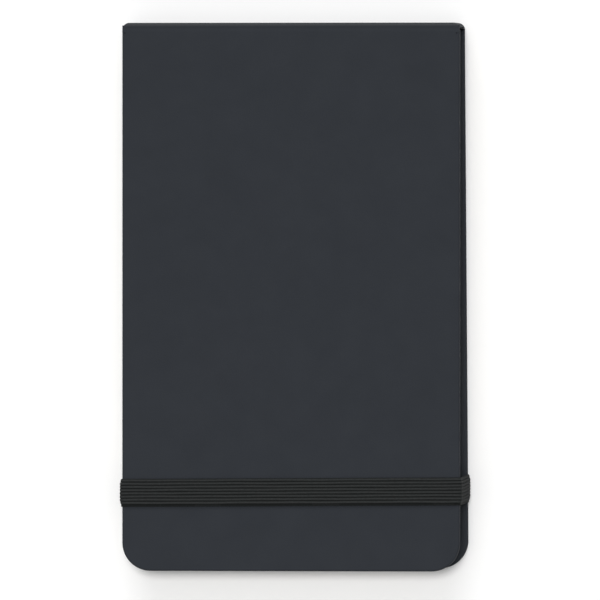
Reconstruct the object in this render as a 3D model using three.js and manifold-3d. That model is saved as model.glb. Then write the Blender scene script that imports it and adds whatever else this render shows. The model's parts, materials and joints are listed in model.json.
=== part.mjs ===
// Pocket notebook bound along its top edge, closed by a woven elastic band.
// Millimetres. The notebook lies on its back cover: +Z is up through the front cover, +Y is towards
// the spine, and the origin is under the middle of the closed notebook.

import * as THREE from "three";
import { mergeVertices } from "three/addons/utils/BufferGeometryUtils.js";
import Module from "manifold-3d";

const wasm = await Module();
wasm.setup();

// ---- Driving dimensions ----
const WIDTH = 78; // across the cover
const LENGTH = 126; // from the free end to the spine
const GAP = 0.03; // glue line or slip between neighbouring pieces

const SKIN = 0.27; // leatherette
const BOARD = 1.5; // grey board
const ENDPAPER = 0.15; // pastedowns and flyleaves
const EDGE_ROUND = 0.5; // rounding of the covered board edges
const FREE_CORNER_R = 6.5; // corners at the free end
const SPINE_CORNER_R = 1.1; // corners of the spine
const PANEL_CORNER_R = 0.6; // corners of a cover panel next to its crease
const TURN_IN = 12; // width of leatherette folded onto the inside of a board
const PASTEDOWN_MARGIN = 2.4; // leatherette left showing around a pastedown

const SECTIONS = 8; // folded sections in the block
const SECTION = 0.9; // thickness of one section, ten leaves
const PAGE_INSET_SIDE = 1.3; // the cover overhangs the pages by this much
const PAGE_INSET_END = 1.7;
const PAGE_CORNER_R = 5.2;

const CREASE_INSET = 1.2; // hinge crease, measured from the outside of the spine
const CREASE_DEPTH = 0.22;
const CREASE_HALF_WIDTH = 0.95;
const SPINE_SHOULDER = 1.1; // height over which the spine rounds into the covers
const SPINE_SHOULDER_DROP = 0.1; // the shoulder's crest stays below the cover's face
const SPINE_CREST = 0.57; // from the crease to the shoulder's crest
const SPINE_STRIP = 0.7; // card inside the spine
const LINING = 0.24; // gauze glued over the back of the block
const FOLD_SETBACK = 0.45; // the leaves' folds stay this far behind the hinge line
const THREAD = 0.26;
const THREAD_LENGTH = 3.2;
const THREAD_INSET = 0.3; // from the block's face to the first stitch
const THREAD_STATIONS = [-28, -9.5, 9.5, 28];

const BAND = 6.4; // width of the elastic
const BAND_T = 0.6;
const BAND_FROM_END = 18.3; // centre of the band to the free end
const BAND_TAIL_OUT = 8.5; // from the side edge to the slot in the back cover
const BAND_TAIL_IN = 9; // glued length inside the back cover
const SLOT = 1.2; // width of the slot that the elastic passes through
const BAND_SIDE_PLAY = 0.4; // each side of the band, in its groove

// ---- Levels and edges that follow from them ----
const HALF_W = WIDTH / 2;
const END_Y = -LENGTH / 2;
const SPINE_Y = LENGTH / 2;
const WRAP = SKIN + GAP; // from the outside of a cover to its board
const TURN_IN_Z = WRAP + BOARD + GAP;
const COVER_SKIN_T = TURN_IN_Z + SKIN;
const COVER_T = COVER_SKIN_T + GAP + ENDPAPER;
const FLYLEAF_Z = COVER_T + GAP;
const BLOCK_Z = FLYLEAF_Z + ENDPAPER + GAP;
const BLOCK_T = SECTIONS * SECTION + (SECTIONS - 1) * GAP;
const THICKNESS = 2 * BLOCK_Z + BLOCK_T;

const CREASE_Y = SPINE_Y - CREASE_INSET;
const BOARD_SPINE_Y = CREASE_Y - CREASE_HALF_WIDTH + WRAP / 2;
const BLOCK_SPINE_Y = CREASE_Y - FOLD_SETBACK;
const BAND_Y = END_Y + BAND_FROM_END;
const BAND_GROOVE = BAND_T + 2 * GAP;
const TAIL_IN_Z = COVER_SKIN_T - BAND_T;

const CORNER_SEGMENTS = 4; // half the steps in each rounded corner
const EDGE_STEPS = 3;
const CREASE_STEPS = 8;
const RISE_STEPS = 4;
const SHOULDER_STEPS = 6;
const MARGIN = 1; // how far a cutter runs past what it cuts

// ---- Materials ----
function material(color, roughness) {
  return new THREE.MeshStandardMaterial({ color, roughness, metalness: 0 });
}
const leatherette = material(0x33363b, 0.62);
const greyBoard = material(0x8d8981, 0.95);
const endpaper = material(0xe9e2cd, 0.9);
const paper = material(0xf1ead8, 0.92);
const gauze = material(0xdedacd, 0.95);
const thread = material(0xf4f1e8, 0.8);
const elastic = material(0x232525, 0.85);

// ---- Solids ----
function toSolid(geometry) {
  const bare = geometry.clone();
  bare.deleteAttribute("normal");
  bare.deleteAttribute("uv");
  const merged = mergeVertices(bare, 1e-4);
  return new wasm.Manifold(
    new wasm.Mesh({
      numProp: 3,
      vertProperties: merged.getAttribute("position").array,
      triVerts: new Uint32Array(merged.index.array),
    }),
  );
}

function toGeometry(solid) {
  const mesh = solid.getMesh();
  const geometry = new THREE.BufferGeometry();
  geometry.setAttribute("position", new THREE.BufferAttribute(mesh.vertProperties, 3));
  geometry.setIndex(new THREE.BufferAttribute(mesh.triVerts, 1));
  geometry.computeVertexNormals();
  return geometry;
}

function box([x0, y0, z0], [x1, y1, z1]) {
  const geometry = new THREE.BoxGeometry(x1 - x0, y1 - y0, z1 - z0);
  return geometry.translate((x0 + x1) / 2, (y0 + y1) / 2, (z0 + z1) / 2);
}

// A sheet outline in the XY plane: endR rounds the free end's corners, spineR the spine end's.
function sheetOutline(halfWidth, endY, spineY, endR, spineR) {
  const shape = new THREE.Shape();
  shape.moveTo(-halfWidth + endR, endY);
  shape.absarc(halfWidth - endR, endY + endR, endR, -Math.PI / 2, 0);
  shape.absarc(halfWidth - spineR, spineY - spineR, spineR, 0, Math.PI / 2);
  shape.absarc(-halfWidth + spineR, spineY - spineR, spineR, Math.PI / 2, Math.PI);
  shape.absarc(-halfWidth + endR, endY + endR, endR, Math.PI, 1.5 * Math.PI);
  shape.closePath();
  return shape;
}

function plate(shape, z0, z1, round = 0) {
  const geometry = new THREE.ExtrudeGeometry(shape, {
    depth: z1 - z0 - 2 * round,
    curveSegments: CORNER_SEGMENTS,
    bevelEnabled: round > 0,
    bevelThickness: round,
    bevelSize: round,
    bevelOffset: -round,
    bevelSegments: EDGE_STEPS,
  });
  return geometry.translate(0, 0, z0 + round);
}

// Extrudes an outline drawn in the YZ plane across the notebook, from -halfWidth to +halfWidth.
function acrossWidth(points, halfWidth) {
  const shape = new THREE.Shape(points.map(([y, z]) => new THREE.Vector2(y, z)));
  const geometry = new THREE.ExtrudeGeometry(shape, { depth: 2 * halfWidth, bevelEnabled: false });
  const yzx = new THREE.Matrix4().makeBasis(
    new THREE.Vector3(0, 1, 0),
    new THREE.Vector3(0, 0, 1),
    new THREE.Vector3(1, 0, 0),
  );
  return geometry.applyMatrix4(yzx).translate(-halfWidth, 0, 0);
}

function creaseDrop(y) {
  const across = Math.min(1, Math.abs(y - CREASE_Y) / CREASE_HALF_WIDTH);
  return (CREASE_DEPTH * (1 + Math.cos(Math.PI * across))) / 2;
}

// ---- Cover panels, drawn with the outer face at z = 0 and the pages above ----
function bandGroove(side) {
  const y0 = BAND_Y - BAND / 2 - BAND_SIDE_PLAY;
  const y1 = BAND_Y + BAND / 2 + BAND_SIDE_PLAY;
  const slotX = HALF_W - BAND_TAIL_OUT;
  const span = (xa, xb, za, zb) => {
    const xs = [side * xa, side * xb].sort((a, b) => a - b);
    return toSolid(box([xs[0], y0, za], [xs[1], y1, zb]));
  };
  const outer = span(slotX - SLOT, HALF_W + MARGIN, -MARGIN, BAND_GROOVE);
  const slot = span(slotX - SLOT, slotX, -MARGIN, COVER_SKIN_T + GAP / 2);
  const tailX = slotX - SLOT - BAND_TAIL_IN - 2 * GAP;
  const inner = span(tailX, slotX, TAIL_IN_Z - GAP, COVER_SKIN_T + GAP / 2);
  return outer.add(slot).add(inner);
}

const grooves = bandGroove(1).add(bandGroove(-1));

function coverSkin(grooved) {
  const panelSpineY = BOARD_SPINE_Y + WRAP;
  const outline = sheetOutline(HALF_W, END_Y, panelSpineY, FREE_CORNER_R, PANEL_CORNER_R);
  let skin = toSolid(plate(outline, 0, COVER_SKIN_T, EDGE_ROUND));

  const outer = [];
  const inner = [];
  const y0 = CREASE_Y - CREASE_HALF_WIDTH - EDGE_ROUND;
  const y1 = CREASE_Y - GAP;
  for (let i = 0; i <= CREASE_STEPS; i++) {
    const y = y0 + ((y1 - y0) * i) / CREASE_STEPS;
    outer.push([y, creaseDrop(y)]);
    inner.unshift([y, creaseDrop(y) + SKIN]);
  }
  skin = skin.add(toSolid(acrossWidth([...outer, ...inner], HALF_W - EDGE_ROUND / 2)));

  const boardBed = sheetOutline(
    HALF_W - SKIN,
    END_Y + SKIN,
    BOARD_SPINE_Y + GAP,
    FREE_CORNER_R - SKIN,
    PANEL_CORNER_R - SKIN,
  );
  skin = skin.subtract(toSolid(plate(boardBed, SKIN, TURN_IN_Z)));
  const openingOutline = sheetOutline(
    HALF_W - TURN_IN,
    END_Y + TURN_IN,
    BOARD_SPINE_Y - TURN_IN,
    SPINE_CORNER_R,
    SPINE_CORNER_R,
  );
  skin = skin.subtract(toSolid(plate(openingOutline, TURN_IN_Z - MARGIN, COVER_SKIN_T + MARGIN)));
  return toGeometry(grooved ? skin.subtract(grooves) : skin);
}

function coverBoard(grooved) {
  const outline = sheetOutline(
    HALF_W - WRAP,
    END_Y + WRAP,
    BOARD_SPINE_Y,
    FREE_CORNER_R - WRAP,
    PANEL_CORNER_R - WRAP,
  );
  const board = toSolid(plate(outline, WRAP, WRAP + BOARD));
  return toGeometry(grooved ? board.subtract(grooves) : board);
}

// The pastedown lies over the turned-in edges and is backed by a filler card between them.
function pastedown(grooved) {
  const sheet = sheetOutline(
    HALF_W - PASTEDOWN_MARGIN,
    END_Y + PASTEDOWN_MARGIN,
    BOARD_SPINE_Y,
    FREE_CORNER_R - PASTEDOWN_MARGIN,
    PANEL_CORNER_R,
  );
  const inside = TURN_IN + GAP;
  const filler = sheetOutline(
    HALF_W - inside,
    END_Y + inside,
    BOARD_SPINE_Y - inside,
    SPINE_CORNER_R,
    SPINE_CORNER_R,
  );
  const card = toSolid(plate(filler, TURN_IN_Z, COVER_T));
  const lined = card.add(toSolid(plate(sheet, COVER_SKIN_T + GAP, COVER_T)));
  return toGeometry(grooved ? lined.subtract(grooves) : lined);
}

// ---- Paper ----
function leafOutline() {
  return sheetOutline(
    HALF_W - PAGE_INSET_SIDE,
    END_Y + PAGE_INSET_END,
    BLOCK_SPINE_Y,
    PAGE_CORNER_R,
    PANEL_CORNER_R,
  );
}

// ---- Spine ----
function spineSkin() {
  const halfT = THICKNESS / 2;
  const crestY = CREASE_Y + SPINE_CREST;
  const start = CREASE_Y + GAP;
  const profile = (offset) => {
    const face = SPINE_Y - offset;
    const rise = new THREE.CubicBezierCurve(
      new THREE.Vector2(start, halfT - creaseDrop(start) - offset),
      new THREE.Vector2((start + crestY) / 2, halfT - CREASE_DEPTH - offset),
      new THREE.Vector2((start + crestY) / 2, halfT - SPINE_SHOULDER_DROP - offset),
      new THREE.Vector2(crestY, halfT - SPINE_SHOULDER_DROP - offset),
    );
    const shoulder = new THREE.QuadraticBezierCurve(
      new THREE.Vector2(crestY, halfT - SPINE_SHOULDER_DROP - offset),
      new THREE.Vector2(face, halfT - SPINE_SHOULDER_DROP - offset),
      new THREE.Vector2(face, halfT - SPINE_SHOULDER),
    );
    const upper = [...rise.getPoints(RISE_STEPS), ...shoulder.getPoints(SHOULDER_STEPS).slice(1)];
    const lower = upper.map((p) => new THREE.Vector2(p.x, -p.y)).reverse();
    return [...upper, ...lower].map((p) => [p.x, p.y + halfT]);
  };
  const bar = toSolid(acrossWidth([...profile(0), ...profile(SKIN).reverse()], HALF_W));
  const footprint = sheetOutline(HALF_W, END_Y, SPINE_Y, FREE_CORNER_R, SPINE_CORNER_R);
  return toGeometry(bar.intersect(toSolid(plate(footprint, -MARGIN, THICKNESS + MARGIN))));
}

function spineStrip() {
  const outer = SPINE_Y - SKIN - GAP;
  const halfW = HALF_W - SPINE_CORNER_R;
  const z0 = SPINE_SHOULDER;
  return box([-halfW, outer - SPINE_STRIP, z0], [halfW, outer, THICKNESS - z0]);
}

const liningOuterY = SPINE_Y - SKIN - SPINE_STRIP - 2 * GAP;
const liningInnerY = liningOuterY - LINING;

function spineLining() {
  const halfW = HALF_W - 2 * PAGE_INSET_SIDE;
  return box([-halfW, liningInnerY, BLOCK_Z], [halfW, liningOuterY, THICKNESS - BLOCK_Z]);
}

function sewingThread(x) {
  const y1 = liningInnerY - GAP;
  return box(
    [x - THREAD_LENGTH / 2, y1 - THREAD, BLOCK_Z + THREAD_INSET],
    [x + THREAD_LENGTH / 2, y1, THICKNESS - BLOCK_Z - THREAD_INSET],
  );
}

// ---- Elastic band ----
const bandY0 = BAND_Y - BAND / 2;
const bandY1 = BAND_Y + BAND / 2;
const bandInX = HALF_W + GAP;
const bandOutX = bandInX + BAND_T;

function bandFront() {
  const z0 = THICKNESS + GAP;
  return box([-bandOutX, bandY0, z0], [bandOutX, bandY1, z0 + BAND_T]);
}

function bandSide(side) {
  const xs = [side * bandInX, side * bandOutX].sort((a, b) => a - b);
  return box([xs[0], bandY0, BAND_GROOVE], [xs[1], bandY1, THICKNESS]);
}

// The band's end runs in along the back, through its slot, and back along the inside of the board.
function bandTail(side) {
  const slotX = HALF_W - BAND_TAIL_OUT - (SLOT - BAND_T) / 2;
  const span = (xa, xb, za, zb) => {
    const xs = [side * xa, side * xb].sort((a, b) => a - b);
    return toSolid(box([xs[0], bandY0, za], [xs[1], bandY1, zb]));
  };
  const topZ = COVER_SKIN_T - GAP / 2;
  const outer = span(slotX - BAND_T, bandOutX, GAP, GAP + BAND_T);
  const riser = span(slotX - BAND_T, slotX, GAP, topZ);
  const inner = span(slotX - BAND_TAIL_IN, slotX, TAIL_IN_Z + GAP / 2, topZ);
  return toGeometry(outer.add(riser).add(inner));
}

// ---- Assembly ----
const notebook = new THREE.Group();

function place(parent, name, geometry, look, z = 0) {
  const mesh = new THREE.Mesh(geometry, look);
  mesh.name = name;
  mesh.position.z = z;
  parent.add(mesh);
}

function addCover(parent, end, grooved) {
  place(parent, `${end}_cover_skin`, coverSkin(grooved), leatherette);
  place(parent, `${end}_board`, coverBoard(grooved), greyBoard);
  place(parent, `${end}_pastedown`, pastedown(grooved), endpaper);
  place(parent, `${end}_flyleaf`, plate(leafOutline(), 0, ENDPAPER), endpaper, FLYLEAF_Z);
}

const backCover = new THREE.Group();
addCover(backCover, "back", true);

// The front cover is the same panel turned face up.
const frontCover = new THREE.Group();
frontCover.rotation.y = Math.PI;
frontCover.position.z = THICKNESS;
addCover(frontCover, "front", false);

// Section 1 is next to the front cover.
const block = new THREE.Group();
for (let i = 1; i <= SECTIONS; i++) {
  const z = THICKNESS - BLOCK_Z - i * SECTION - (i - 1) * GAP;
  place(block, `section_${String(i).padStart(2, "0")}`, plate(leafOutline(), 0, SECTION), paper, z);
}

const spine = new THREE.Group();
place(spine, "spine_skin", spineSkin(), leatherette);
place(spine, "spine_strip", spineStrip(), greyBoard);
place(spine, "spine_lining", spineLining(), gauze);
THREAD_STATIONS.forEach((x, i) => place(spine, `sewing_thread_${i + 1}`, sewingThread(x), thread));

const band = new THREE.Group();
place(band, "elastic_front", bandFront(), elastic);
place(band, "elastic_side_left", bandSide(-1), elastic);
place(band, "elastic_side_right", bandSide(1), elastic);
place(band, "elastic_tail_left", bandTail(-1), elastic);
place(band, "elastic_tail_right", bandTail(1), elastic);

notebook.add(backCover, block, spine, frontCover, band);

export default notebook;
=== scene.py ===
"""Looks of the pocket notebook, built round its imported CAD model. Shapes are drawn in millimetres."""
import json
import math
import random

import bmesh
import bpy
import numpy as np
from mathutils import Matrix, Vector


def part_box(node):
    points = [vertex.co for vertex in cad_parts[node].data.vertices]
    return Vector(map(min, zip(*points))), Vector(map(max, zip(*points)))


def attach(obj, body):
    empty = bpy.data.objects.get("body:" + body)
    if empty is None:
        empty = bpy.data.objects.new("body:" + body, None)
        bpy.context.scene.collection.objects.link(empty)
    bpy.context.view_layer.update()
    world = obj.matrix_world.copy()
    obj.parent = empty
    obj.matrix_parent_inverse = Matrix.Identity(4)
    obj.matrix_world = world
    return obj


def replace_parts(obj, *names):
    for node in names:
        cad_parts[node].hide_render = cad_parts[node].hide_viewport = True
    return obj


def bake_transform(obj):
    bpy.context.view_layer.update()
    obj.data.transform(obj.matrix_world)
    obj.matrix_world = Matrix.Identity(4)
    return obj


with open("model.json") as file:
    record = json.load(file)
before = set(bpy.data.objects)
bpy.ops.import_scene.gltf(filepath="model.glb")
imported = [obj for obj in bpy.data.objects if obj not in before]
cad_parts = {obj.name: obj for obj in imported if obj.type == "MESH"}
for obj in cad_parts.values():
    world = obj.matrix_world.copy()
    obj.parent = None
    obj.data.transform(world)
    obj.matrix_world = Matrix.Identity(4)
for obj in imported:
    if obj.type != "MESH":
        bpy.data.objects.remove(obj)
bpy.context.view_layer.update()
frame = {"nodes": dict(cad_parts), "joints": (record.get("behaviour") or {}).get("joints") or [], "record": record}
RNG = random.Random(7)  # fixed, so that every run gives the same notebook
MM = 0.001


# ---- Places, read from the frame ----
def span(node, axis):
    """Lowest and highest coordinate of a CAD node along axis 0, 1 or 2, in millimetres."""
    low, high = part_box(node)
    return low[axis] / MM, high[axis] / MM


HALF_W = span("front_cover_skin", 0)[1]
END_Y = span("front_cover_skin", 1)[0]
SPINE_Y = span("spine_skin", 1)[1]
TOP_Z = span("front_cover_skin", 2)[1]
COVER_SKIN_T = span("back_cover_skin", 2)[1]
BOARD_SPINE_Y = span("front_board", 1)[1]
BAND_Y0, BAND_Y1 = span("elastic_front", 1)
BAND_OUT_X = span("elastic_front", 0)[1]
PAGE_HALF_W = span("section_02", 0)[1]
PAGE_END_Y, PAGE_SPINE_Y = span("section_02", 1)
HINGE = next(j for j in frame["joints"] if j["name"] == "front_cover_hinge")
HINGE_Y = HINGE["pos_m"][1] / MM

# ---- Sizes of the real pieces that the frame's boxes don't give ----
# Covers
SKIN = 0.27  # thickness of the leatherette
FREE_CORNER_R = 6.5  # corners at the free end
FACE_ROUND = 0.45  # rounding of the covered board's edges, outside
INNER_ROUND = 0.4  # and inside
TURN_IN = 12.0  # width of leatherette folded onto the inside of a board
BOARD_BEVEL = 0.25
BOARD_CORNER_R = 0.4  # corners of the boards and pastedowns next to the spine
PASTEDOWN_MARGIN = 2.4  # leatherette left showing round a pastedown
SKEW = 0.007  # how far the back cover is turned under the front one, in radians
SKEW_SETTLES = 60.0  # the turn comes in over this distance from the spine

# Crease and spine
CREASE_DEPTH = 0.16
CREASE_HALF_WIDTH = 0.95
CREASE_SLIT = 0.03  # from the hinge line to the panel on one side of it and the spine on the other
CREASE_PROUD = 0.006  # how far the strip that covers the crease stands out
CREASE_LAP = 0.12  # how far the strip reaches beyond the crease
CREST_RISE = 0.57  # from the crease's bottom to the crest of the spine
FLANGE_Y = HINGE_Y - 0.75  # where a cover panel starts to thin towards its crease
FLANGE_FALL = 0.55  # length over which it thins
FLANGE_CORNER_R = 0.06
SPINE_CORNER_R = 1.5
SHOULDER = 1.1  # height over which the spine rounds into the covers
SHOULDER_DROP = 0.1  # the shoulder's crest stays below the cover's face
# Thickness of the strip over the crease, in skins, against the distance from the hinge line.
CREASE_TAPER = ((-1.1, 0.06), (-0.5, 0.2), (-0.25, 1), (0.4, 1), (CREST_RISE, 0.06))

# Paper
LEAVES_PER_SECTION = 10
LEAF_PITCH = 0.09
LEAF_T = 0.078
LEAF_SKEW = 0.3  # the leaves' share of the back cover's turn
PAGE_CORNER_R = 5.2
LINE_PITCH = 6.0  # ruled lines
LINE_MARGIN = 0.6  # they stop this far from the page's sides
LINE_HALF_WIDTH = 0.014  # in pitches

# Elastic band
BAND_T = 0.6
BAND_RIBS = 8
RIB_STEPS = 8  # points across a rib
WEB = 0.12  # half the thickness between two ribs
SHADOW_STRIP = 0.5  # a flat strip along the band's edge on the side of the free end, painted dark as the band's shadow on the cover
BAND_SLIP = 0.14  # how far the band has crept towards the free end
BAND_SLOPE = 0.25  # how much nearer the spine it is at the right side than in the middle
BAND_CUP = 0.26  # how far its edges lie closer to the covers where it goes round them
CUP_FROM, CUP_WIDTH = 0.55, 0.45  # the part of the half width that is cupped
WRAP_LENGTH = 1.2  # the stretch next to a side edge over which the cup comes in
RIB_WANDER = 0.028  # how far a rib strays from its straight line
RIB_FILL, RIB_PULSE = 0.9, 0.06  # a rib's height, in half thicknesses, and its change along the band
SLOT_X = 30.5  # the slot in the back cover that a tail passes through
SLOT_HALF_WIDTH = 0.6
SLOT_PLAY = 0.35  # beyond each edge of the band
TAIL_TURN_R = 0.4  # the tail's turns into and out of the slot

RIB_PITCH = (BAND_Y1 - BAND_Y0 - SHADOW_STRIP) / BAND_RIBS


# ---- Camera, at the photograph's viewing angle ----
CAMERA_DISTANCE = 4000.0
CAMERA_TILT_X = math.radians(6.5)  # towards the notebook's right side
CAMERA_TILT_Y = math.radians(0.3)  # towards its spine
CAMERA_ROLL = math.radians(0.01)
FRAME_WIDTH = 137.8  # what the picture takes in at the front cover
AIM = Vector((2.17, -0.7, TOP_Z))  # the middle of the picture
SENSOR = 36.0


def add_camera():
    """A long lens that looks down at the front cover."""
    data = bpy.data.cameras.new("camera")
    data.sensor_width = SENSOR
    data.lens = SENSOR * CAMERA_DISTANCE / FRAME_WIDTH
    data.clip_start = 0.1
    data.clip_end = 50.0
    camera = bpy.data.objects.new("camera", data)
    bpy.context.scene.collection.objects.link(camera)
    back = Vector((math.tan(CAMERA_TILT_X), math.tan(CAMERA_TILT_Y), 1)).normalized()
    camera.location = (AIM + back * CAMERA_DISTANCE) * MM
    side = Vector((0, 1, 0)).cross(back).normalized()
    turn = Matrix((side, back.cross(side), back)).transposed()
    camera.rotation_mode = "QUATERNION"
    camera.rotation_quaternion = (Matrix.Rotation(CAMERA_ROLL, 3, back) @ turn).to_quaternion()
    bpy.context.scene.camera = camera


add_camera()


# ---- Node materials ----
def new_material(name, roughness, **fixed):
    """A Principled material, and what its node functions need: (material, nodes, links, shader)."""
    material = bpy.data.materials.new(name)
    material.use_nodes = True
    nodes, links = material.node_tree.nodes, material.node_tree.links
    shader = nodes["Principled BSDF"]
    shader.inputs["Roughness"].default_value = roughness
    for socket, value in fixed.items():
        shader.inputs[socket.replace("_", " ")].default_value = value
    return material, nodes, links, shader


def coordinates(nodes, links, source="Object", scale=(1, 1, 1)):
    coords = nodes.new("ShaderNodeTexCoord")
    mapping = nodes.new("ShaderNodeMapping")
    mapping.inputs["Scale"].default_value = scale
    links.new(coords.outputs[source], mapping.inputs["Vector"])
    return mapping.outputs["Vector"]


def noise(nodes, links, vector, scale, detail=4.0, rough=0.55):
    node = nodes.new("ShaderNodeTexNoise")
    node.inputs["Scale"].default_value = scale
    node.inputs["Detail"].default_value = detail
    node.inputs["Roughness"].default_value = rough
    links.new(vector, node.inputs["Vector"])
    return node.outputs["Fac"]


def ramp(nodes, links, value, stops):
    """Colours against a value: stops are (position, (r, g, b))."""
    node = nodes.new("ShaderNodeValToRGB")
    elements = node.color_ramp.elements
    while len(elements) < len(stops):
        elements.new(0.5)
    for element, (position, colour) in zip(elements, stops):
        element.position = position
        element.color = (*colour, 1)
    links.new(value, node.inputs["Fac"])
    return node.outputs["Color"]


def math_node(nodes, links, operation, a, b=None):
    """A Math node. a and b are numbers or other nodes' outputs."""
    node = nodes.new("ShaderNodeMath")
    node.operation = operation
    for socket, value in zip(node.inputs, (a, b)):
        if value is None:
            continue
        if isinstance(value, (int, float)):
            socket.default_value = value
        else:
            links.new(value, socket)
    return node.outputs["Value"]


def mix_colour(nodes, links, factor, a, b):
    """From colour a at factor 0 to colour b at 1."""
    node = nodes.new("ShaderNodeMix")
    node.data_type = "RGBA"
    for name, value in (("Factor", factor), ("A", a), ("B", b)):
        socket = [s for s in node.inputs if s.name == name and s.enabled][0]
        if isinstance(value, (int, float)):
            socket.default_value = value
        elif isinstance(value, tuple):
            socket.default_value = (*value, 1)
        else:
            links.new(value, socket)
    return [s for s in node.outputs if s.enabled][0]


def add_bumps(nodes, links, shader, *layers):
    """Chains bump nodes: each layer is (height, how far it stands out in metres)."""
    normal = None
    for height, distance in layers:
        bump = nodes.new("ShaderNodeBump")
        bump.inputs["Strength"].default_value = 1.0
        bump.inputs["Distance"].default_value = distance
        links.new(height, bump.inputs["Height"])
        if normal:
            links.new(normal, bump.inputs["Normal"])
        normal = bump.outputs["Normal"]
    links.new(normal, shader.inputs["Normal"])


HIGHLIGHT_FROM_HINGE = (0.15, 0.7)  # the painted highlight comes in between these distances from the hinge line
HIGHLIGHT_FROM_FACE = (1.4, 0.8)  # and between these depths below a cover's face


def shoulder_mask(nodes, links):
    """Where the highlight is painted: 1 on the two rounded shoulders of the spine and 0 away from them."""
    place = nodes.new("ShaderNodeSeparateXYZ")
    links.new(coordinates(nodes, links), place.inputs["Vector"])
    height = math_node(nodes, links, "SUBTRACT", place.outputs["Z"], TOP_Z * MM / 2)
    from_middle = math_node(nodes, links, "ABSOLUTE", height)
    mask = 1.0
    fades = (
        (place.outputs["Y"], HINGE_Y + HIGHLIGHT_FROM_HINGE[0], HINGE_Y + HIGHLIGHT_FROM_HINGE[1]),
        (from_middle, TOP_Z / 2 - HIGHLIGHT_FROM_FACE[0], TOP_Z / 2 - HIGHLIGHT_FROM_FACE[1]),
    )
    for value, start, end in fades:
        step = nodes.new("ShaderNodeMapRange")
        step.interpolation_type = "SMOOTHSTEP"
        step.inputs["From Min"].default_value = start * MM
        step.inputs["From Max"].default_value = end * MM
        links.new(value, step.inputs["Value"])
        mask = math_node(nodes, links, "MULTIPLY", step.outputs["Result"], mask)
    return mask


LEATHERETTE = ((0.0264, 0.0295, 0.0351), (0.0286, 0.0319, 0.0378))  # darkest and lightest
# painted highlight: the lighter colour put on the spine's shoulders where light would catch them
LEATHERETTE_HIGHLIGHT = (0.062, 0.064, 0.067)
LEATHERETTE_ROUGHNESS = (0.56, 0.64)


def leatherette_material(name, painted_highlight=False):
    """Matt printed grain: fine cells and pores over slow rolls. The flag paints a lighter highlight, speckled by
    the pores, on the spine's shoulders.
    """
    material, nodes, links, shader = new_material(name, 0.6, Specular_IOR_Level=0.02)
    place = coordinates(nodes, links)
    cells = nodes.new("ShaderNodeTexVoronoi")
    cells.feature = "SMOOTH_F1"
    cells.inputs["Scale"].default_value = 2600
    cells.inputs["Smoothness"].default_value = 0.6
    links.new(place, cells.inputs["Vector"])
    pores = noise(nodes, links, place, scale=5200, detail=3)
    rolls = noise(nodes, links, place, scale=45, detail=3)
    tone = noise(nodes, links, place, scale=130, detail=5)
    patches = noise(nodes, links, place, scale=420, detail=4)
    dark, light = LEATHERETTE
    colour = ramp(nodes, links, tone, [(0.3, dark), (0.7, light)])
    # Painted highlight on the spine's shoulders, in place of light catching them.
    if painted_highlight:
        highlight_share = math_node(nodes, links, "MULTIPLY", shoulder_mask(nodes, links), pores)
        colour = mix_colour(nodes, links, highlight_share, colour, LEATHERETTE_HIGHLIGHT)
    links.new(colour, shader.inputs["Base Color"])
    smoothest, roughest = LEATHERETTE_ROUGHNESS
    roughness = ramp(nodes, links, patches, [(0.3, (smoothest,) * 3), (0.7, (roughest,) * 3)])
    links.new(roughness, shader.inputs["Roughness"])
    layers = (rolls, 0.00006), (cells.outputs["Distance"], 0.000012), (pores, 0.000006)
    add_bumps(nodes, links, shader, *layers)
    return material


CLOUD_SHARE = 0.06  # how much the paper's tone changes from place to place
INK = (0.30, 0.34, 0.38)
INK_SHARE = 0.6


def paper_material(name, light, dark, ruled):
    """Uncoated paper with fine fibres, and faint lines if it is ruled."""
    material, nodes, links, shader = new_material(name, 0.9, Specular_IOR_Level=0.25)
    place = coordinates(nodes, links, "UV")
    fibres = noise(nodes, links, place, scale=900, detail=6, rough=0.65)
    clouds = noise(nodes, links, place, scale=60, detail=3)
    cloud_tone = ramp(nodes, links, clouds, [(0.3, (0, 0, 0)), (0.7, (1, 1, 1))])
    colour = mix_colour(nodes, links, fibres, dark, light)
    colour = mix_colour(nodes, links, CLOUD_SHARE, colour, cloud_tone)
    if ruled:
        split = nodes.new("ShaderNodeSeparateXYZ")
        links.new(place, split.inputs["Vector"])
        along = math_node(nodes, links, "MULTIPLY", split.outputs["Y"], 1 / (LINE_PITCH * MM))
        phase = math_node(nodes, links, "FRACT", along)
        from_line = math_node(nodes, links, "SUBTRACT", phase, 0.5)
        off_line = math_node(nodes, links, "ABSOLUTE", from_line)
        on_line = math_node(nodes, links, "LESS_THAN", off_line, LINE_HALF_WIDTH)
        sideways = math_node(nodes, links, "ABSOLUTE", split.outputs["X"])
        inside = math_node(nodes, links, "LESS_THAN", sideways, (PAGE_HALF_W - LINE_MARGIN) * MM)
        inked = math_node(nodes, links, "MULTIPLY", on_line, inside)
        ink = math_node(nodes, links, "MULTIPLY", inked, INK_SHARE)
        colour = mix_colour(nodes, links, ink, colour, INK)
    links.new(colour, shader.inputs["Base Color"])
    add_bumps(nodes, links, shader, (fibres, 0.000008))
    return material


ELASTIC = ((0.008, 0.009, 0.009), (0.029, 0.031, 0.031))  # painted shade in the grooves, lighter on the ribs' crowns


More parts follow.
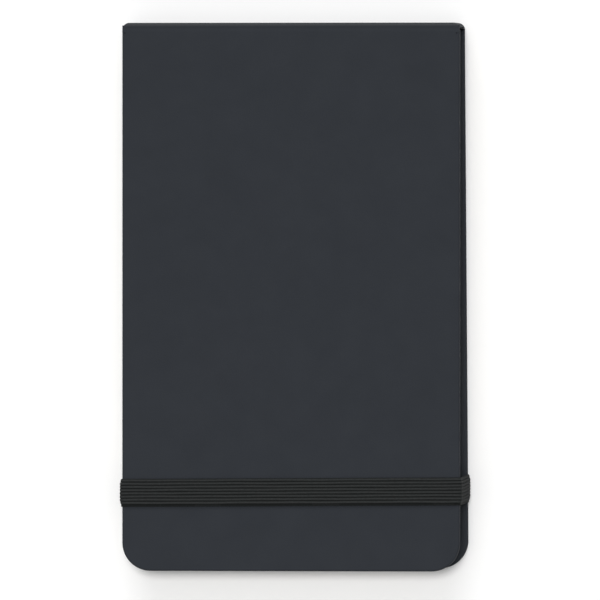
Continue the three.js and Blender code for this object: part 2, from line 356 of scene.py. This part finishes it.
def elastic_material():
    """Woven elastic with painted shade: dark grooves, lighter rib crowns, fine stitches across. UVs start at the
    first rib.
    """
    material, nodes, links, shader = new_material("elastic", 0.8, Specular_IOR_Level=0.1)
    place = coordinates(nodes, links, "UV")
    stitches = nodes.new("ShaderNodeTexWave")
    stitches.inputs["Scale"].default_value = 900
    stitches.inputs["Distortion"].default_value = 1.5
    stitches.inputs["Detail"].default_value = 2
    stitches.inputs["Detail Scale"].default_value = 2
    links.new(place, stitches.inputs["Vector"])
    along_yarn = coordinates(nodes, links, "UV", (0.25, 1, 1))
    yarn = noise(nodes, links, along_yarn, scale=5200, detail=4, rough=0.7)
    split = nodes.new("ShaderNodeSeparateXYZ")
    links.new(place, split.inputs["Vector"])
    # Painted shade: the colour goes from dark in the grooves to lighter on the crowns, with some tone from the
    # yarn.
    half_pitch = RIB_PITCH * MM / 2
    phase = math_node(nodes, links, "PINGPONG", split.outputs["Y"], half_pitch)
    # The strip before the first rib gets the grooves' dark colour: painted shadow under the band.
    on_rib = math_node(nodes, links, "GREATER_THAN", split.outputs["Y"], 0.0)
    rise = math_node(nodes, links, "DIVIDE", phase, half_pitch)
    crown = math_node(nodes, links, "MULTIPLY", rise, on_rib)
    crown_light_and_yarn = math_node(nodes, links, "MULTIPLY", crown, yarn)
    groove_shade_colour, crown_colour = ELASTIC
    colour = ramp(nodes, links, crown_light_and_yarn, [(0.05, groove_shade_colour), (0.5, crown_colour)])
    links.new(colour, shader.inputs["Base Color"])
    add_bumps(nodes, links, shader, (stitches.outputs["Fac"], 0.00002), (yarn, 0.00003))
    return material


BOARD = ((0.35, (0.16, 0.15, 0.13)), (0.5, (0.28, 0.26, 0.23)), (0.68, (0.40, 0.38, 0.34)))


def board_material():
    """Grey board pressed from mixed pulp."""
    material, nodes, links, shader = new_material("grey_board", 0.95, Specular_IOR_Level=0.2)
    place = coordinates(nodes, links)
    flecks = noise(nodes, links, place, scale=1400, detail=6, rough=0.7)
    links.new(ramp(nodes, links, flecks, BOARD), shader.inputs["Base Color"])
    add_bumps(nodes, links, shader, (flecks, 0.00002))
    return material


WAVES_PER_UNIT = 3.2  # Blender's wave texture repeats this often in one unit, at scale 1


def weave_material(name, light, dark, pitch):
    """Threads in two directions, pitch millimetres apart."""
    material, nodes, links, shader = new_material(name, 0.95, Specular_IOR_Level=0.2)
    place = coordinates(nodes, links)
    bands = []
    for direction in ("X", "Z"):
        wave = nodes.new("ShaderNodeTexWave")
        wave.bands_direction = direction
        wave.inputs["Scale"].default_value = 1 / (pitch * MM) / WAVES_PER_UNIT
        wave.inputs["Distortion"].default_value = 0.6
        links.new(place, wave.inputs["Vector"])
        bands.append(wave.outputs["Fac"])
    cloth = math_node(nodes, links, "MAXIMUM", *bands)
    links.new(ramp(nodes, links, cloth, [(0.2, dark), (0.8, light)]), shader.inputs["Base Color"])
    add_bumps(nodes, links, shader, (cloth, 0.00005))
    return material


MATERIALS = {
    "leatherette": leatherette_material("leatherette"),
    "grey_board": board_material(),
    "endpaper": paper_material("endpaper", (0.76, 0.70, 0.57), (0.70, 0.64, 0.51), ruled=False),
    "page_paper": paper_material("page_paper", (0.78, 0.73, 0.61), (0.72, 0.67, 0.55), ruled=True),
    "gauze": weave_material("gauze", (0.74, 0.71, 0.62), (0.42, 0.40, 0.34), pitch=0.45),
    "thread": weave_material("thread", (0.88, 0.86, 0.80), (0.62, 0.60, 0.54), pitch=0.2),
    "elastic": elastic_material(),
}


# ---- Mesh building ----
def loft(name, rings, slot, uv=None, sharp=35):
    """A closed piece through rings of points, each ring a closed loop, with both ends capped.

    uv gives each point's place on the flat material, or else it is the point's x and y. Edges bent by more
    than sharp degrees are drawn sharp.
    """
    rings = np.asarray(rings, float)
    count, size = rings.shape[:2]
    index = np.arange(count * size).reshape(count, size)
    here, there = index[:-1], index[1:]
    quads = np.stack([here, np.roll(here, -1, 1), np.roll(there, -1, 1), there], -1).reshape(-1, 4)
    faces = [tuple(int(i) for i in q) for q in quads]
    faces += [tuple(int(i) for i in index[0][::-1]), tuple(int(i) for i in index[-1])]
    mesh = bpy.data.meshes.new(name)
    mesh.from_pydata((rings.reshape(-1, 3) * MM).tolist(), [], faces)
    build = bmesh.new()
    build.from_mesh(mesh)
    bmesh.ops.recalc_face_normals(build, faces=build.faces)
    build.to_mesh(mesh)
    build.free()
    layer = mesh.uv_layers.new(name="flat")
    flat = rings[..., :2].reshape(-1, 2) if uv is None else np.asarray(uv, float).reshape(-1, 2)
    loops = np.zeros(len(mesh.loops), np.int32)
    mesh.loops.foreach_get("vertex_index", loops)
    layer.data.foreach_set("uv", (flat[loops] * MM).astype(np.float32).ravel())
    mesh.shade_smooth()
    mesh.set_sharp_from_angle(angle=math.radians(sharp))
    mesh.materials.append(MATERIALS[slot])
    piece = bpy.data.objects.new(name, mesh)
    bpy.context.scene.collection.objects.link(piece)
    return piece


def smooth(t):
    """0 up to t = 0 and 1 from t = 1, with a smooth rise between."""
    t = np.clip(t, 0, 1)
    return t * t * (3 - 2 * t)


def path_normals(path):
    """Unit normals of a path in its own plane, to the left of its direction."""
    step = np.gradient(np.asarray(path, float), axis=0)
    step /= np.linalg.norm(step, axis=1)[:, None]
    return np.stack([-step[:, 1], step[:, 0]], 1)


def sheet(name, path, half_width, thickness, slot, columns=2, offset_y=0.0):
    """A thin sheet that follows a path of (y, z) points. half_width gives its reach in X at each point."""
    path = np.asarray(path, float)
    normals = path_normals(path)
    rings, uv = [], []
    lengths = np.concatenate([[0], np.cumsum(np.linalg.norm(np.diff(path, axis=0), axis=1))])
    halves = np.broadcast_to(np.asarray(thickness, float) / 2, len(path))
    for (y, z), (ny, nz), reach, half, s in zip(path, normals, half_width, halves, lengths):
        across = np.linspace(-reach, reach, columns)
        top = [(x, y + ny * half, z + nz * half) for x in across]
        bottom = [(x, y - ny * half, z - nz * half) for x in across[::-1]]
        rings.append(top + bottom)
        uv.append([(x, s + offset_y) for x in np.concatenate([across, across[::-1]])])
    return loft(name, rings, slot, uv)


# ---- Covers ----
def skew(piece, share=1.0):
    """The back cover and the leaves sit slightly turned under the front cover.

    share is the part of the turn that a piece gets: a number, or a function of the heights of its points.
    """
    points = np.empty(len(piece.data.vertices) * 3, np.float32)
    piece.data.vertices.foreach_get("co", points)
    x, y, z = (points.reshape(-1, 3) / MM).T
    from_spine = np.maximum(0, BOARD_SPINE_Y - y)
    share = share(z) if callable(share) else share
    moved = np.stack([
        x + SKEW * from_spine * share,
        y + SKEW * (x + HALF_W) * np.minimum(1, from_spine / SKEW_SETTLES) * share,
        z,
    ], 1)
    piece.data.vertices.foreach_set("co", (moved * MM).astype(np.float32).ravel())
    piece.data.update()
    return piece


def crease_drop(y):
    """How far the crease lies below the cover's face."""
    across = np.minimum(1, np.abs(y - HINGE_Y) / CREASE_HALF_WIDTH)
    return CREASE_DEPTH * (1 + np.cos(np.pi * across)) / 2


def spine_drop(y):
    """How far the spine's outside lies below the cover's face, from the crease to the crest."""
    rise = np.clip((y - HINGE_Y) / CREST_RISE, 0, 1)
    return SHOULDER_DROP + (CREASE_DEPTH - SHOULDER_DROP) * (1 + np.cos(np.pi * rise)) / 2


FREE_CORNER_STEPS = 15
SPINE_CORNER_STEPS = 4


def quarter(centre, radius, start, steps):
    """A quarter circle, anticlockwise from the angle start in degrees."""
    angles = math.radians(start) + np.linspace(0, math.pi / 2, steps)
    return np.stack([centre[0] + radius * np.cos(angles), centre[1] + radius * np.sin(angles)], 1)


def outline(half, end_y, spine_y, free_radius, spine_radius, side=()):
    """A cover-shaped loop: two wide corners at the free end, two tight ones at the spine.

    side lists the y of extra points along each side.
    """
    right = np.concatenate([
        quarter((half - free_radius, end_y + free_radius), free_radius, -90, FREE_CORNER_STEPS),
        np.array([(half, y) for y in side]).reshape(-1, 2),
        quarter((half - spine_radius, spine_y - spine_radius), spine_radius, 0, SPINE_CORNER_STEPS),
    ])
    return np.concatenate([right, right[::-1] * [-1, 1]])


SIDE_POINTS = 12  # where a panel thins towards its crease
LEAST_CORNER_R = 0.8


def panel_ring(inset, depth, spine_y, spine_depth):
    """One loop of the wrapped skin.

    inset and depth hold on three sides, and spine_y and spine_depth at the hinge.
    """
    side = np.linspace(FLANGE_Y, spine_y - FLANGE_CORNER_R, SIDE_POINTS, endpoint=False)
    radius = max(FREE_CORNER_R - inset, LEAST_CORNER_R)
    points = outline(HALF_W - inset, END_Y + inset, spine_y, radius, FLANGE_CORNER_R, side)
    hinge = smooth((points[:, 1] - FLANGE_Y) / FLANGE_FALL)
    z = depth + (spine_depth - depth) * hinge + crease_drop(points[:, 1])
    return np.column_stack([points, z])


OUTER_ROUND_STEPS = 9
INNER_ROUND_STEPS = 5
FACE_MARGIN = 0.1  # from the crease to the flat of the face
FACE_RIM = 0.3  # from the edge rounding to the first ring inside it
WINDOW_FROM_FLANGE = 0.35  # the opening between the turn-ins, on the hinge side
SPINE_SIDE_INSET = 0.3  # the part of an inset that applies at the hinge side


def cover_panel_rings():
    """The wrapped leatherette, outer face at z = 0: over the edge, round the board and back inside."""
    flange_y = HINGE_Y - CREASE_SLIT
    face_y = HINGE_Y - CREASE_HALF_WIDTH - FACE_MARGIN
    thin = 2 * SKIN / COVER_SKIN_T
    rings = [panel_ring(FACE_ROUND + FACE_RIM, 0, face_y - FACE_RIM, 0)]
    outer_turns = np.linspace(0, math.pi / 2, OUTER_ROUND_STEPS)
    for turn, y in zip(outer_turns, np.linspace(face_y, flange_y, OUTER_ROUND_STEPS)):
        depth = FACE_ROUND * (1 - math.cos(turn))
        rings.append(panel_ring(FACE_ROUND * (1 - math.sin(turn)), depth, y, depth * thin))
    for turn in np.linspace(0, math.pi / 2, INNER_ROUND_STEPS):
        depth = COVER_SKIN_T - INNER_ROUND * (1 - math.sin(turn))
        inset = INNER_ROUND * (1 - math.cos(turn))
        rings.append(panel_ring(inset, depth, flange_y - inset * SPINE_SIDE_INSET, depth * thin))
    under = COVER_SKIN_T - SKIN
    window_y = flange_y - WINDOW_FROM_FLANGE
    inside = [  # inset, depth, spine_y, spine_depth
        (TURN_IN - 0.08, COVER_SKIN_T, window_y, 2 * SKIN),
        (TURN_IN, COVER_SKIN_T - 0.06, window_y - 0.04, 2 * SKIN - 0.06),
        (TURN_IN, under, window_y - 0.04, SKIN + 0.03),
        (SKIN + 0.3, under, window_y - 0.08, SKIN + 0.02),
        (SKIN, under - 0.1, BOARD_SPINE_Y + 0.12, SKIN + 0.01),
        (SKIN, SKIN + 0.2, BOARD_SPINE_Y + 0.08, SKIN),
        (SKIN + 0.2, SKIN, BOARD_SPINE_Y + 0.04, SKIN),
    ]
    rings += [panel_ring(*ring) for ring in inside]
    return np.array(rings)


BOARD_INSET = 0.3  # from the outside of a cover to its board


def board_rings():
    low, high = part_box("back_board")
    half, bottom, top = high.x / MM, low.z / MM, high.z / MM
    end, spine = low.y / MM, high.y / MM
    levels = [(BOARD_BEVEL, bottom), (0, bottom + BOARD_BEVEL), (0, top - BOARD_BEVEL), (BOARD_BEVEL, top)]
    rings = []
    for inset, z in levels:
        radius = FREE_CORNER_R - BOARD_INSET - inset
        points = outline(half - inset, end + inset, spine - inset * SPINE_SIDE_INSET, radius, BOARD_CORNER_R)
        rings.append(np.column_stack([points, np.full(len(points), z)]))
    return np.array(rings)


WINDOW_CORNER_R = 1.0
WINDOW_FROM_SPINE = 1.2  # the sunk part, from the sheet's end at the spine


def pastedown_rings():
    """The endpaper glued inside the cover, which sinks into the window between the turn-ins."""
    low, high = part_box("back_pastedown")
    half, bottom, top = high.x / MM, low.z / MM, high.z / MM
    end, spine = low.y / MM, high.y / MM
    window = HALF_W - TURN_IN - 0.1
    shoulder = COVER_SKIN_T + 0.02
    levels = [(half - window + 0.1, bottom), (half - window, bottom + 0.05), (half - window, shoulder - 0.02),
              (half - window - 0.1, shoulder), (0, shoulder), (0, top - 0.03), (0.03, top)]
    rings = []
    for inset, z in levels:
        sinks = inset > 1
        radius = WINDOW_CORNER_R if sinks else FREE_CORNER_R - PASTEDOWN_MARGIN - inset
        at_spine = spine - (WINDOW_FROM_SPINE if sinks else inset)
        points = outline(half - inset, end + inset, at_spine, radius, BOARD_CORNER_R)
        rings.append(np.column_stack([points, np.full(len(points), z)]))
    return np.array(rings)


def cut(piece, *boxes):
    """Takes boxes, each (low corner, high corner), out of a piece."""
    for low, high in boxes:
        x, y, z = zip(low, high)
        corners = [[(x[i], y[j], z[k]) for i, j in ((0, 0), (1, 0), (1, 1), (0, 1))] for k in (0, 1)]
        cutter = loft("cutter", corners, "leatherette")
        modifier = piece.modifiers.new("cut", "BOOLEAN")
        modifier.operation = "DIFFERENCE"
        modifier.solver = "MANIFOLD"
        modifier.object = cutter
        evaluated = piece.evaluated_get(bpy.context.evaluated_depsgraph_get())
        made = bpy.data.meshes.new_from_object(evaluated)
        piece.modifiers.clear()
        piece.data = made
        bpy.data.objects.remove(cutter)


def band_boxes(x0, x1, z0, z1):
    """The same box on both sides of the notebook, a little longer than the elastic is wide."""
    y0, y1 = BAND_Y0 - SLOT_PLAY, BAND_Y1 + SLOT_PLAY
    return ((x0, y0, z0), (x1, y1, z1)), ((-x1, y0, z0), (-x0, y1, z1))


def above(rings):
    """The back cover's rings as the front cover's."""
    return rings * [1, 1, -1] + [0, 0, TOP_Z]


def add_cover_part(kind, node, rings, slot, *boxes):
    """One layer of both covers. boxes are cut out of the back one."""
    back = loft(f"back_{kind}", rings, slot)
    cut(back, *boxes)
    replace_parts(skew(back), f"back_{node}")
    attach(back, "block")
    front = loft(f"front_{kind}", above(rings), slot)
    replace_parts(front, f"front_{node}")
    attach(front, "front_cover")


BELOW_COVER, ABOVE_COVER = -1, 5  # heights that are clear of the back cover
BESIDE_COVER = HALF_W + 2
GROOVE_PLAY = 0.08  # over the band, in the groove under the back cover
RECESS_PLAY_END, RECESS_PLAY_UNDER, RECESS_PLAY_OVER = 0.3, 0.06, 0.03  # round its glued tail


def add_covers():
    """Leatherette, board and pastedown of both covers, with the elastic's grooves, slots and recesses."""
    tail_end = span("elastic_tail_right", 0)[0]
    tail_top = span("elastic_tail_right", 2)[1]
    recess_z = tail_top - BAND_T - RECESS_PLAY_UNDER, tail_top + RECESS_PLAY_OVER
    groove = band_boxes(SLOT_X + 0.5, BESIDE_COVER, BELOW_COVER, BAND_T + GROOVE_PLAY)
    slot = band_boxes(SLOT_X - SLOT_HALF_WIDTH, SLOT_X + SLOT_HALF_WIDTH, BELOW_COVER, ABOVE_COVER)
    recess = band_boxes(tail_end - RECESS_PLAY_END, SLOT_X, *recess_z)
    boxes = (*groove, *slot, *recess)
    add_cover_part("cover_leatherette", "cover_skin", cover_panel_rings(), "leatherette", *boxes)
    add_cover_part("cover_board", "board", board_rings(), "grey_board", *boxes)
    add_cover_part("cover_pastedown", "pastedown", pastedown_rings(), "endpaper", *recess)


# ---- Spine ----
def spine_profile():
    """The spine's outside from the front crease over its shoulders to the back crease, as (y, z)."""
    crest_y = HINGE_Y + CREST_RISE
    slope_y = np.linspace(HINGE_Y + CREASE_SLIT, crest_y, 8)
    slope = np.stack([slope_y, TOP_Z - spine_drop(slope_y)], 1)
    turn = np.linspace(0, math.pi / 2, 10)[1:]
    round_z = SHOULDER - SHOULDER_DROP
    shoulder = np.stack([
        crest_y + (SPINE_Y - crest_y) * np.sin(turn),
        TOP_Z - SHOULDER + round_z * np.cos(turn),
    ], 1)
    upper = np.concatenate([slope, shoulder])
    lower = upper[::-1] * [1, -1] + [0, TOP_Z]
    face = np.stack([np.full(6, SPINE_Y), np.linspace(TOP_Z - SHOULDER, SHOULDER, 8)[1:-1]], 1)
    return np.concatenate([upper, face, lower])


STEEPEST = 0.97  # a rounding stops short of the square end
LEAST_SHARE = 0.06  # what is left of the spine's depth at its very ends
AT_CREASE = 0.4  # how much of the end rounding in height there is next to the crease


def rounding(edge, radius):
    """How far a rounded edge of a radius has drawn in at a distance from its end."""
    into = min(STEEPEST, max(0.0, (radius - edge) / radius))
    return radius * (1 - math.sqrt(1 - into * into))


def spine_section(x, inward):
    """The spine's profile at x, moved inward: its two ends are rounded over."""
    edge = HALF_W - abs(x)
    from_y = rounding(edge, SPINE_CORNER_R) + inward
    from_z = rounding(edge, FACE_ROUND)
    profile = spine_profile()
    start = profile[0, 0]
    depth = (profile[:, 0] - start) / (SPINE_Y - start)
    y = start + (profile[:, 0] - start) * max(LEAST_SHARE, 1 - from_y / (SPINE_Y - start))
    level = (profile[:, 1] - TOP_Z / 2) / (TOP_Z / 2)
    end_share = AT_CREASE + (1 - AT_CREASE) * np.minimum(1, depth * 2)
    z = profile[:, 1] - level * (from_z * end_share + inward)
    return [(x, v, w) for v, w in zip(y, z)]


def add_spine():
    """The leatherette over the spine, and its turned-in ends beside the card strip."""
    turn = np.sin(np.linspace(0, math.pi / 2, 9))
    right = HALF_W - SPINE_CORNER_R * (1 - turn)
    inner = np.linspace(-right[0], right[0], 9)[1:-1]
    stations = np.concatenate([-right[::-1], inner, right])
    rings = [spine_section(x, 0) + spine_section(x, SKIN)[::-1] for x in stations]
    skin = loft("spine_leatherette", rings, "leatherette")
    # its material paints a highlight on the spine's shoulders
    skin.data.materials[0] = leatherette_material("spine_leatherette", painted_highlight=True)
    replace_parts(skin, "spine_skin")
    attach(skin, "block")
    strip_end = span("spine_strip", 0)[1]
    for side, label in ((-1, "left"), (1, "right")):
        stations = [side * (strip_end + step) for step in (0.04, 0.3, 0.55)]
        cap = loft(f"spine_turn_in_{label}", [spine_section(x, SKIN + 0.01) for x in stations], "leatherette")
        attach(cap, "block")


add_covers()
add_spine()


# ---- Paper ----
BEND_LENGTH = 16.0  # of a turning leaf, next to its fold
BEND_STEPS = 41


def leaf_stations(spine_y, fine):
    """Where a leaf is cut across, from its free end to its fold. fine adds the stretch that bends."""
    turn = np.linspace(0, math.pi / 2, 8)
    corner = PAGE_END_Y + PAGE_CORNER_R * (1 - np.cos(turn))
    if not fine:
        return np.concatenate([corner, [0.0, spine_y - 1.0, spine_y]])
    bend_part = np.linspace(spine_y - BEND_LENGTH, spine_y, BEND_STEPS)
    return np.concatenate([corner, [-20.0, 0.0, 20.0, 35.0], bend_part])


def leaf_reach(y):
    """Half the width of a leaf at y, which draws in at its rounded corners."""
    into = np.clip((PAGE_END_Y + PAGE_CORNER_R - np.asarray(y, float)) / PAGE_CORNER_R, 0, 1)
    return PAGE_HALF_W - PAGE_CORNER_R * (1 - np.sqrt(1 - into * into))


def flat_leaf(name, z, thickness, fine):
    y = leaf_stations(PAGE_SPINE_Y, fine)
    path = np.stack([y, np.full(len(y), z)], 1)
    return sheet(name, path, leaf_reach(y), thickness, "endpaper", columns=3, offset_y=PAGE_END_Y)


def folded_sheet(name, z_low, z_high, fine):
    """Two leaves in one: out along the lower level, round the fold at the spine, and back."""
    bend_radius = (z_high - z_low) / 2
    fold_y = PAGE_SPINE_Y - bend_radius - 0.05
    out = leaf_stations(fold_y, fine) + RNG.uniform(-0.03, 0.03)
    turn = np.linspace(-math.pi / 2, math.pi / 2, 7)[1:-1]
    fold = np.stack([
        out[-1] + bend_radius * np.cos(turn),
        (z_low + z_high) / 2 + bend_radius * np.sin(turn),
    ], 1)
    path = np.concatenate([
        np.stack([out, np.full(len(out), z_low)], 1),
        fold,
        np.stack([out[::-1], np.full(len(out), z_high)], 1),
    ])
    reach = leaf_reach(path[:, 0]) + RNG.uniform(-0.05, 0.02)
    return sheet(name, path, np.maximum(reach, 0.2), LEAF_T, "page_paper", columns=3)


def join(name, parts):
    """Several objects as one, keeping their UVs."""
    bpy.ops.object.select_all(action="DESELECT")
    for part in parts:
        part.select_set(True)
    bpy.context.view_layer.objects.active = parts[0]
    bpy.ops.object.join()
    parts[0].name = name
    parts[0].data.name = name
    return parts[0]


def bend(piece):
    """Bakes the piece's placement into its mesh; nothing here bends it or puts it on a turning body."""
    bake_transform(piece)


def leaf_skew(z):
    """The leaves' share of the back cover's turn: the higher they lie, the less."""
    return LEAF_SKEW * (1 - z / TOP_Z)


def add_section(number, body):
    """One sewn section: sheets folded in two and nested in each other."""
    node = f"section_{number:02d}"
    low, high = span(node, 2)
    middle = (low + high) / 2
    sheets = []
    for i in range(LEAVES_PER_SECTION // 2):
        half = (i + 0.5) * LEAF_PITCH
        sheets.append(folded_sheet(f"{node}_sheet_{i}", middle - half, middle + half, body != "block"))
    piece = skew(join(f"{node}_leaves", sheets), leaf_skew(middle))
    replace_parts(piece, node)
    if body == "block":
        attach(piece, body)
    else:
        bend(piece)


def add_leaves():
    """The eight sections and the two flyleaves. The first section and the front flyleaf turn."""
    for number in range(1, 9):
        add_section(number, "section_01" if number == 1 else "block")
    for node, body in (("front_flyleaf", "front_flyleaf"), ("back_flyleaf", "block")):
        low, high = span(node, 2)
        middle = (low + high) / 2
        leaf = flat_leaf(f"{node}_leaf", middle, high - low, body != "block")
        skew(leaf, leaf_skew(middle))
        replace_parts(leaf, node)
        if body == "block":
            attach(leaf, body)
        else:
            bend(leaf)


ENDPAPER_STEPS = 17
ENDPAPER_HINGE_T = 0.1


def add_hinge_linings():
    """The leatherette over the crease and the endpaper under it, which bend as the cover opens."""
    y = np.linspace(HINGE_Y + CREST_RISE, HINGE_Y - CREASE_HALF_WIDTH - CREASE_LAP, BEND_STEPS)
    taper = np.interp(y - HINGE_Y, *zip(*CREASE_TAPER))
    z = TOP_Z - np.where(y > HINGE_Y, spine_drop(y), crease_drop(y)) + CREASE_PROUD - SKIN * taper / 2
    reach = np.full(len(y), HALF_W - 0.03)
    crease = sheet("crease_leatherette", np.stack([y, z], 1), reach, SKIN * taper, "leatherette", columns=9)
    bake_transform(crease)
    paste_z = span("front_pastedown", 2)[0]
    leaf_z = span("front_flyleaf", 2)[1]
    y = np.linspace(PAGE_SPINE_Y + 0.02, BOARD_SPINE_Y - 0.1, ENDPAPER_STEPS)
    z = np.linspace(leaf_z - 0.02, paste_z + 0.05, ENDPAPER_STEPS)
    reach = np.full(len(y), PAGE_HALF_W)
    hinge = sheet("endpaper_hinge", np.stack([y, z], 1), reach, ENDPAPER_HINGE_T, "endpaper")
    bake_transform(hinge)


add_leaves()
add_hinge_linings()


# ---- Elastic band ----
def arc(centre, radius, start, stop, steps):
    """Points on a circle between two angles in degrees."""
    angles = np.radians(np.linspace(start, stop, steps))
    return np.stack([centre[0] + radius * np.cos(angles), centre[1] + radius * np.sin(angles)], 1)


def line(a, b, step=0.3):
    """Points between a and b, without either."""
    count = max(2, int(math.dist(a, b) / step) + 1)
    return np.linspace(a, b, count)[1:-1]


FLOOR_PLAY = 0.03  # the band lies this far above the floor


def half_band_path():
    """From the middle of the front round the right edge to the glued end, as (x, z)."""
    half = BAND_T / 2
    edge_x = HALF_W - FACE_ROUND
    edge_r = BAND_OUT_X - half - edge_x
    top = (edge_x, TOP_Z - FACE_ROUND)
    low = (edge_x, edge_r + half + FLOOR_PLAY)
    top_z = top[1] + edge_r
    low_z = low[1] - edge_r
    tail_z = span("elastic_tail_right", 2)[1] - half
    tail_end = span("elastic_tail_right", 0)[0]
    turn_r = TAIL_TURN_R
    parts = [
        line((-0.3, top_z), (edge_x, top_z)),
        arc(top, edge_r, 90, 0, 9),
        line((edge_x + edge_r, top[1]), (edge_x + edge_r, low[1])),
        arc(low, edge_r, 0, -90, 9),
        line((edge_x, low_z), (SLOT_X + turn_r, low_z)),
        arc((SLOT_X + turn_r, low_z + turn_r), turn_r, -90, -180, 5),
        line((SLOT_X, low_z + turn_r), (SLOT_X, tail_z - turn_r)),
        arc((SLOT_X - turn_r, tail_z - turn_r), turn_r, 0, 90, 5),
        line((SLOT_X - turn_r, tail_z), (tail_end, tail_z)),
    ]
    return np.concatenate(parts)


def rib_profile():
    """Places across the band, from its first rib, and half thicknesses there.

    A flat strip comes first, painted dark by the material as the band's shadow, then round cords side by side on a
    thin web.
    """
    turn = np.linspace(-1, 1, RIB_STEPS, endpoint=False)
    places, heights = [[-SHADOW_STRIP]], [[WEB]]
    for rib in range(BAND_RIBS):
        places.append((rib + (1 + np.sin(turn * math.pi / 2)) / 2) * RIB_PITCH)
        heights.append(WEB + (BAND_T / 2 - 0.01 - WEB) * np.cos(turn * math.pi / 2) ** 0.8)
    places.append([BAND_RIBS * RIB_PITCH])
    heights.append([WEB])
    return np.concatenate(places), np.concatenate(heights)


PULSE_LENGTHS = (1.15, 2.7)  # of the changes in a rib's height along the band
WANDER_LENGTHS = (2.1, 4.9)  # of its sideways changes, over 2 pi


def add_band():
    """The elastic in one piece: both tails, both sides and the run across the front."""
    right = half_band_path()
    path = np.concatenate([right[::-1], (right * [-1, 1])[1:]])
    normals = path_normals(path)
    if normals[len(path) // 2][1] < 0:
        normals = -normals
    across, half_thickness = rib_profile()
    rib = np.clip((np.arange(len(across)) - 1) // RIB_STEPS, 0, BAND_RIBS - 1)
    under = np.append(np.arange(1, len(across), RIB_STEPS // 2)[::-1], 0)
    lengths = np.concatenate([[0], np.cumsum(np.linalg.norm(np.diff(path, axis=0), axis=1))])
    first_rib = BAND_Y0 + SHADOW_STRIP - BAND_SLIP
    from_middle = np.abs(first_rib + across - (BAND_Y0 + BAND_Y1) / 2) / (BAND_Y1 - BAND_Y0) * 2
    phases = np.array([[RNG.uniform(0, 2 * math.pi) for _ in range(4)] for _ in range(BAND_RIBS)])[rib]
    on_rib = (half_thickness - WEB) / (BAND_T / 2 - WEB)
    rings, uv = [], []
    cupped = smooth((from_middle - CUP_FROM) / CUP_WIDTH)
    for (x, z), (nx, nz), s in zip(path, normals, lengths):
        pulse = sum(np.sin(s * 2 * math.pi / d + phases[:, i]) for i, d in enumerate(PULSE_LENGTHS))
        wander = sum(np.sin(s / d + phases[:, i + 2]) for i, d in enumerate(WANDER_LENGTHS))
        y = first_rib + across + BAND_SLOPE * x / HALF_W + RIB_WANDER * wander * on_rib
        lift = np.minimum(half_thickness * (RIB_FILL + RIB_PULSE * pulse), BAND_T / 2 - 0.005)
        wraps = smooth((abs(x) - HALF_W + WRAP_LENGTH) / WRAP_LENGTH)
        lift = np.maximum(lift - BAND_CUP * wraps * cupped, -WEB / 2)
        upper = [(x + nx * h, v, z + nz * h) for v, h in zip(y, lift)]
        lower = [(x - nx * h, y[i], z - nz * h) for i, h in zip(under, half_thickness[under])]
        rings.append(upper + lower)
        uv.append([(s, v) for v in across] + [(s, across[i]) for i in under])
    band = loft("elastic_band", rings, "elastic", uv, sharp=75)
    # It turns with the back cover at its lower end and with the front cover at its upper end.
    skew(band, share=lambda z: smooth((TOP_Z - 1 - z) / (TOP_Z - 2 - COVER_SKIN_T)))
    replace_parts(band, "elastic_front", "elastic_side_left", "elastic_side_right", "elastic_tail_left",
                "elastic_tail_right")
    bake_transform(band)


add_band()


# ---- CAD nodes that stay ----
def finish_cad_nodes():
    """Gives the CAD nodes that no piece replaces the material of their slot."""
    slots = {s["node"]: s["material_slot"] for s in frame["record"]["subparts"]}
    for name, node in frame["nodes"].items():
        if node.hide_render:
            continue
        node.data.materials.clear()
        node.data.materials.append(MATERIALS[slots[name]])


finish_cad_nodes()


# ---- Floor and light ----
FLOOR_HALF = 6.0
FLOOR_ALBEDO = 0.92


def add_floor():
    mesh = bpy.data.meshes.new("floor")
    corners = [(-FLOOR_HALF, -FLOOR_HALF, 0), (FLOOR_HALF, -FLOOR_HALF, 0), (FLOOR_HALF, FLOOR_HALF, 0),
               (-FLOOR_HALF, FLOOR_HALF, 0)]
    mesh.from_pydata(corners, [], [(0, 1, 2, 3)])
    floor = bpy.data.objects.new("floor", mesh)
    bpy.context.scene.collection.objects.link(floor)
    material, _, _, shader = new_material("floor", 0.9, Specular_IOR_Level=0.1)
    shader.inputs["Base Color"].default_value = (FLOOR_ALBEDO, FLOOR_ALBEDO, FLOOR_ALBEDO, 1)
    mesh.materials.append(material)


def add_sun(name, azimuth, elevation, strength, spread):
    """A soft light from one side: azimuth 0 is the +Y side and 90 the +X side, all in degrees."""
    data = bpy.data.lights.new(name, "SUN")
    data.energy = strength
    data.angle = math.radians(spread)
    light = bpy.data.objects.new(name, data)
    a, e = math.radians(azimuth), math.radians(elevation)
    towards = Vector((math.sin(a) * math.cos(e), math.cos(a) * math.cos(e), math.sin(e)))
    light.rotation_mode = "QUATERNION"
    light.rotation_quaternion = towards.to_track_quat("Z", "Y")
    bpy.context.scene.collection.objects.link(light)


def add_world(overhead, horizon):
    """Soft light from all round, that changes from one strength overhead to another at the horizon."""
    world = bpy.data.worlds.new("studio")
    world.use_nodes = True
    nodes, links = world.node_tree.nodes, world.node_tree.links
    direction = nodes.new("ShaderNodeTexCoord")
    split = nodes.new("ShaderNodeSeparateXYZ")
    links.new(direction.outputs["Generated"], split.inputs["Vector"])
    height = nodes.new("ShaderNodeMapRange")
    height.inputs["To Min"].default_value = horizon
    height.inputs["To Max"].default_value = overhead
    links.new(split.outputs["Z"], height.inputs["Value"])
    background = nodes["Background"]
    background.inputs["Color"].default_value = (1, 1, 1, 1)
    links.new(height.outputs["Result"], background.inputs["Strength"])
    bpy.context.scene.world = world


add_floor()
add_world(overhead=0.7, horizon=0.1)
add_sun("sun_key", azimuth=24, elevation=83.8, strength=1.5, spread=14)
add_sun("sun_back", azimuth=-4, elevation=34, strength=1.15, spread=40)
bpy.context.scene.view_settings.view_transform = "Standard"
